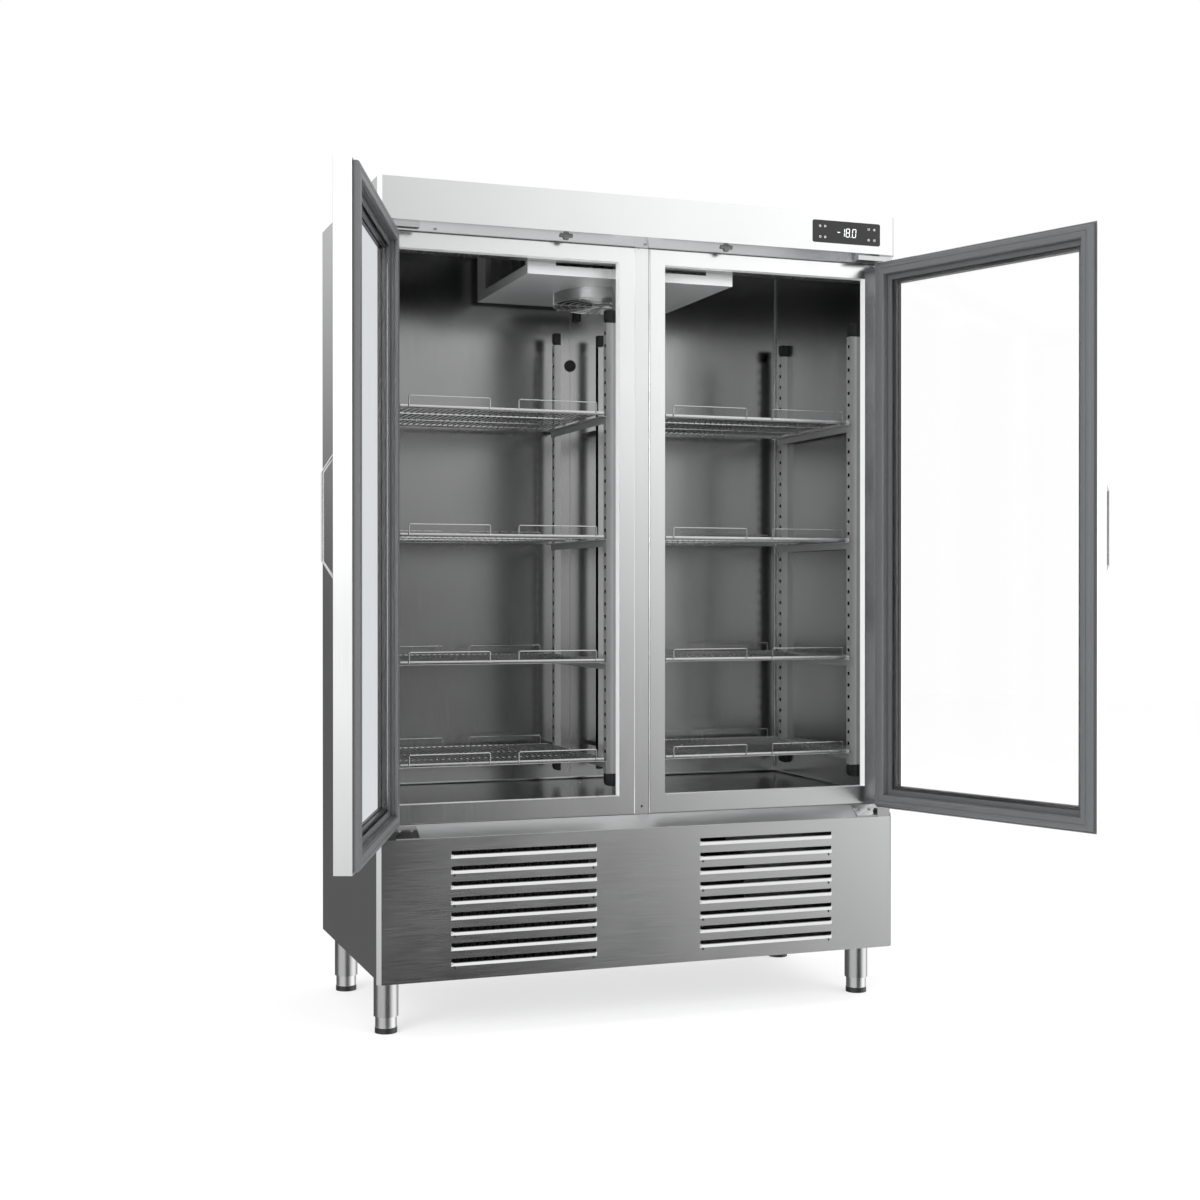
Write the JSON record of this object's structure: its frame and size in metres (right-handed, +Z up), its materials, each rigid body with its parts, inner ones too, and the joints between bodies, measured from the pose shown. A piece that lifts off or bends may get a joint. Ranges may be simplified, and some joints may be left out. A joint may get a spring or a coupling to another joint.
{
  "type": "glass door freezer",
  "caption": "Upright commercial display freezer with glazed swing doors, wire shelves, a louvred base and round legs.",
  "frame": {"origin": "on the floor, under the middle of the cabinet with its doors standing open as stored", "axes": "+Z up; the front with the doors faces -Y; +X to the right seen from the front"},
  "size_m": [1.8812, 1.325, 2.067],
  "materials": {
    "cabinet_steel": "vertical brushed stainless sheet",
    "liner_steel": "satin stainless liner",
    "galvanised": "galvanised sheet",
    "post_steel": "stainless channel",
    "shelf_wire": "coated steel wire",
    "leg_steel": "brushed stainless tube",
    "black_plastic": "black moulded plastic",
    "door_metal": "brushed metal door profile",
    "door_trim": "dark grey profile",
    "gasket": "soft grey magnetic gasket",
    "glass": "clear heated glass",
    "spacer": "anodised spacer bar",
    "handle": "bright steel handle",
    "hinge": "bright cast hinge",
    "catch": "bright steel catch",
    "display": "dark glossy controller",
    "foam": "foam insulation",
    "fan_wire": "plated wire guard",
    "coil": "finned aluminium coil",
    "motor": "motor housing",
    "compressor": "black painted shell"
  },
  "bodies": {
    "cabinet": {"side_panels": "cabinet_steel", "header_panel": "cabinet_steel", "louvred_front_panel": "cabinet_steel", "left_face_frame": "cabinet_steel", "right_face_frame": "cabinet_steel", "mullion": "cabinet_steel", "front_sill": "cabinet_steel", "liner_side_walls": "liner_steel", "liner_back_wall": "liner_steel", "liner_ceiling": "liner_steel", "floor_tray": "liner_steel", "evaporator_cover": "liner_steel", "roof_panel": "galvanised", "back_panels": "galvanised", "base_pan": "galvanised", "condenser_fan_shroud": "galvanised", "uprights": "post_steel", "shelf_runners": "post_steel", "leg_tubes": "leg_steel", "upright_caps": "black_plastic", "cable_gland": "black_plastic", "wall_fittings": "black_plastic", "fan_shroud": "black_plastic", "hinge_brackets": "hinge", "screws": "hinge", "door_catches": "catch", "display_controller": "display", "insulation": "foam", "fan_guard": "fan_wire", "evaporator_coil": "coil", "condenser_coil": "coil", "evaporator_fan_motor": "motor", "condenser_fan_motor": "motor", "compressor": "compressor"},
    "left_door": {"left_door_frame": "door_metal", "left_door_glass": "glass", "left_door_spacer": "spacer", "left_door_inner_frame": "door_trim", "left_door_gasket": "gasket", "left_door_handle": "handle"},
    "right_door": {"right_door_frame": "door_metal", "right_door_glass": "glass", "right_door_spacer": "spacer", "right_door_inner_frame": "door_trim", "right_door_gasket": "gasket", "right_door_handle": "handle"},
    "left_shelf_1": {"left_shelf_1": "shelf_wire"},
    "left_shelf_2": {"left_shelf_2": "shelf_wire"},
    "left_shelf_3": {"left_shelf_3": "shelf_wire"},
    "left_shelf_4": {"left_shelf_4": "shelf_wire"},
    "right_shelf_1": {"right_shelf_1": "shelf_wire"},
    "right_shelf_2": {"right_shelf_2": "shelf_wire"},
    "right_shelf_3": {"right_shelf_3": "shelf_wire"},
    "right_shelf_4": {"right_shelf_4": "shelf_wire"},
    "foot_front_left": {"foot_front_left": "leg_steel"},
    "foot_front_right": {"foot_front_right": "leg_steel"},
    "foot_rear_left": {"foot_rear_left": "leg_steel"},
    "foot_rear_right": {"foot_rear_right": "leg_steel"},
    "evaporator_fan": {"evaporator_fan": "black_plastic"},
    "condenser_fan": {"condenser_fan": "black_plastic"}
  },
  "joints": [
    {"name": "right_door_hinge", "type": "hinge", "parent": "cabinet", "child": "right_door", "pos_m": [0.6746, -0.0216, 1.2288], "axis": [0, 0, 1], "range_deg": [-110, 10]},
    {"name": "left_door_hinge", "type": "hinge", "parent": "cabinet", "child": "left_door", "pos_m": [-0.6746, -0.0216, 1.2288], "axis": [0, 0, -1], "range_deg": [-110, 10]},
    {"name": "left_shelf_1_slide", "type": "slide", "parent": "cabinet", "child": "left_shelf_1", "axis": [0, -1, 0], "range_m": [0, 0.3]},
    {"name": "left_shelf_2_slide", "type": "slide", "parent": "cabinet", "child": "left_shelf_2", "axis": [0, -1, 0], "range_m": [0, 0.3]},
    {"name": "left_shelf_3_slide", "type": "slide", "parent": "cabinet", "child": "left_shelf_3", "axis": [0, -1, 0], "range_m": [0, 0.3]},
    {"name": "left_shelf_4_slide", "type": "slide", "parent": "cabinet", "child": "left_shelf_4", "axis": [0, -1, 0], "range_m": [0, 0.3]},
    {"name": "right_shelf_1_slide", "type": "slide", "parent": "cabinet", "child": "right_shelf_1", "axis": [0, -1, 0], "range_m": [0, 0.3]},
    {"name": "right_shelf_2_slide", "type": "slide", "parent": "cabinet", "child": "right_shelf_2", "axis": [0, -1, 0], "range_m": [0, 0.3]},
    {"name": "right_shelf_3_slide", "type": "slide", "parent": "cabinet", "child": "right_shelf_3", "axis": [0, -1, 0], "range_m": [0, 0.3]},
    {"name": "right_shelf_4_slide", "type": "slide", "parent": "cabinet", "child": "right_shelf_4", "axis": [0, -1, 0], "range_m": [0, 0.3]},
    {"name": "evaporator_fan_spin", "type": "hinge", "parent": "cabinet", "child": "evaporator_fan", "pos_m": [0, 0.3245, 1.868], "axis": [0, 0, 1], "continuous": true},
    {"name": "condenser_fan_spin", "type": "hinge", "parent": "cabinet", "child": "condenser_fan", "pos_m": [-0.325, 0.0775, 0.315], "axis": [0, 1, 0], "continuous": true},
    {"name": "foot_front_left_screw", "type": "slide", "parent": "cabinet", "child": "foot_front_left", "axis": [0, 0, -1], "range_m": [0, 0.045]},
    {"name": "foot_front_right_screw", "type": "slide", "parent": "cabinet", "child": "foot_front_right", "axis": [0, 0, -1], "range_m": [0, 0.045]},
    {"name": "foot_rear_left_screw", "type": "slide", "parent": "cabinet", "child": "foot_rear_left", "axis": [0, 0, -1], "range_m": [0, 0.045]},
    {"name": "foot_rear_right_screw", "type": "slide", "parent": "cabinet", "child": "foot_rear_right", "axis": [0, 0, -1], "range_m": [0, 0.045]}
  ]
}
